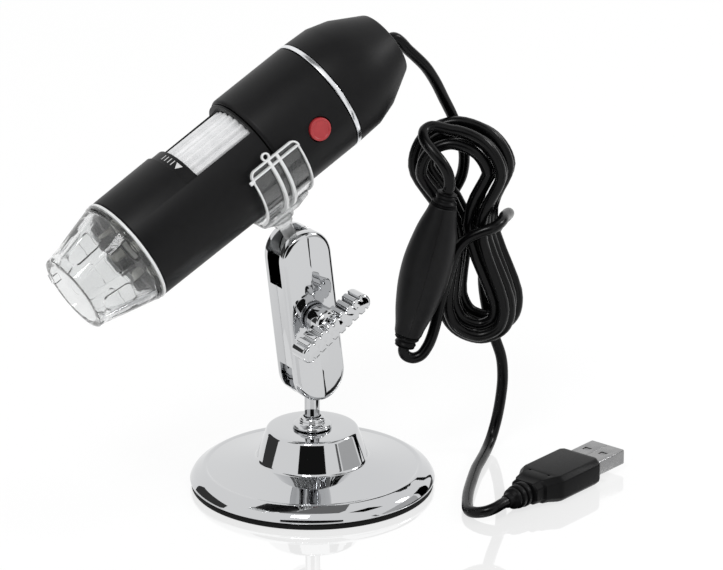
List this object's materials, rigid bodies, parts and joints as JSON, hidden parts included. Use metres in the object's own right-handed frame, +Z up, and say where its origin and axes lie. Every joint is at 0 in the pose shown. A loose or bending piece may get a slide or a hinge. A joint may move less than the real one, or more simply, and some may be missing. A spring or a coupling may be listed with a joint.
{
  "type": "usb digital microscope",
  "caption": "Handheld digital microscope clipped to a ball-joint desk stand with a weighted round base, with a hanked lead, an inline light control and a plug.",
  "frame": {"origin": "centre of the base's underside, on the surface it stands on", "axes": "+Z up, -X towards the lens end, -Y on the wing nut's and the button's side; the arm, the clip and the barrel lie in the XZ plane"},
  "size_m": [0.1653, 0.0893, 0.1383],
  "materials": {
    "chrome": "mirror polished chrome plate",
    "steel": "plain zinc-plated steel",
    "iron": "rough casting, hidden in the base",
    "foot_rubber": "soft matt rubber",
    "lead_rubber": "smooth, slightly glossy cable sheath",
    "body_black": "soft-touch painted plastic",
    "clear_plastic": "clear polycarbonate, polished",
    "silver": "bright silver ring",
    "roller_plastic": "pearl-silver moulded plastic",
    "button_plastic": "satin moulded plastic",
    "inner_black": "matt moulded plastic",
    "board_white": "white solder mask",
    "board_green": "green solder mask",
    "lamp_plastic": "water-clear lamp over a yellow phosphor",
    "lens_glass": "coated optical glass",
    "sensor_silicon": "silicon under a glass lid",
    "contact_metal": "gold-plated contact",
    "tongue_plastic": "white moulded plastic"
  },
  "bodies": {
    "base": {"base_dish": "chrome", "foot_ring": "foot_rubber", "bottom_cover": "foot_rubber", "base_weight": "iron", "flange_nut": "chrome", "lock_nut": "steel"},
    "post": {"post": "chrome"},
    "arm": {"clamp_front_plate": "chrome", "clamp_back_plate": "chrome", "clamp_bolt": "chrome", "clamp_spring": "steel", "bolt_washer": "steel"},
    "wing_nut": {"wing_nut": "chrome"},
    "stem": {"ball_stem": "clear_plastic"},
    "clip": {"clip": "clear_plastic"},
    "barrel": {"front_shell": "body_black", "rear_shell": "body_black", "silver_ring": "silver", "rear_cap": "body_black", "nose_cone": "clear_plastic", "seam_ring": "clear_plastic", "led_board": "board_white", "led_1": "lamp_plastic", "led_2": "lamp_plastic", "led_3": "lamp_plastic", "led_4": "lamp_plastic", "led_5": "lamp_plastic", "led_6": "lamp_plastic", "led_7": "lamp_plastic", "led_8": "lamp_plastic", "guide_tube": "inner_black", "rear_bulkhead": "inner_black", "sensor_board": "board_green", "image_sensor": "sensor_silicon", "main_board": "board_green", "push_switch": "steel", "cord_gland": "lead_rubber", "cord_upper": "lead_rubber", "cord_hank": "lead_rubber", "cord_inlet": "lead_rubber", "cord_lower": "lead_rubber", "control_left_shell": "body_black", "control_right_shell": "body_black", "control_board": "board_green", "control_top_relief": "lead_rubber", "control_bottom_relief": "lead_rubber", "plug_relief": "lead_rubber", "plug_body": "body_black", "plug_shell": "steel", "plug_tongue": "tongue_plastic", "plug_contact_1": "contact_metal", "plug_contact_2": "contact_metal", "plug_contact_3": "contact_metal", "plug_contact_4": "contact_metal"},
    "focus_roller": {"focus_roller": "roller_plastic"},
    "lens": {"lens_carriage": "inner_black", "front_lens": "lens_glass", "rear_lens": "lens_glass"},
    "snap_button": {"snap_button": "button_plastic"},
    "dimmer_wheel": {"dimmer_wheel": "inner_black"}
  },
  "joints": [
    {"name": "base_yaw", "type": "hinge", "parent": "base", "child": "post", "pos_m": [0, 0, 0], "axis": [0, 0, 1], "continuous": true},
    {"name": "arm_lean", "type": "hinge", "parent": "post", "child": "arm", "pos_m": [0, 0, 0.0337], "axis": [0, -1, 0], "range_deg": [-12, 15]},
    {"name": "wing_turn", "type": "hinge", "parent": "arm", "child": "wing_nut", "pos_m": [-0.00247, 0, 0.0538], "axis": [0, -1, 0], "continuous": true},
    {"name": "clip_tilt", "type": "hinge", "parent": "arm", "child": "stem", "pos_m": [-0.00494, 0, 0.0739], "axis": [0, -1, 0], "range_deg": [-8, 35]},
    {"name": "clip_swivel", "type": "hinge", "parent": "stem", "child": "clip", "pos_m": [-0.00494, 0, 0.0739], "axis": [-0.4772, 0, 0.8788], "range_deg": [-25, 25]},
    {"name": "barrel_slide", "type": "slide", "parent": "clip", "child": "barrel", "axis": [0.8788, 0, 0.4772], "range_m": [-0.0045, 0.02]},
    {"name": "focus_turn", "type": "hinge", "parent": "barrel", "child": "focus_roller", "pos_m": [-0.02159, 0, 0.10457], "axis": [0.8788, 0, 0.4772], "range_deg": [-120, 120]},
    {"name": "lens_travel", "type": "slide", "parent": "barrel", "child": "lens", "axis": [0.8788, 0, 0.4772], "range_m": [-0.0054, 0.0054]},
    {"name": "button_press", "type": "slide", "parent": "barrel", "child": "snap_button", "axis": [0.0532, 0.9938, -0.098], "range_m": [0, 0.0006], "stiffness_N_per_m": 700, "springref_m": -0.0006},
    {"name": "dimmer_turn", "type": "hinge", "parent": "barrel", "child": "dimmer_wheel", "pos_m": [0.03166, -0.0113, 0.06455], "axis": [0.8148, -0.5231, -0.2501], "range_deg": [-140, 140]}
  ],
  "couplings": [
    {"joint": "focus_turn", "follows": "lens_travel", "rad_per_m": 384}
  ]
}
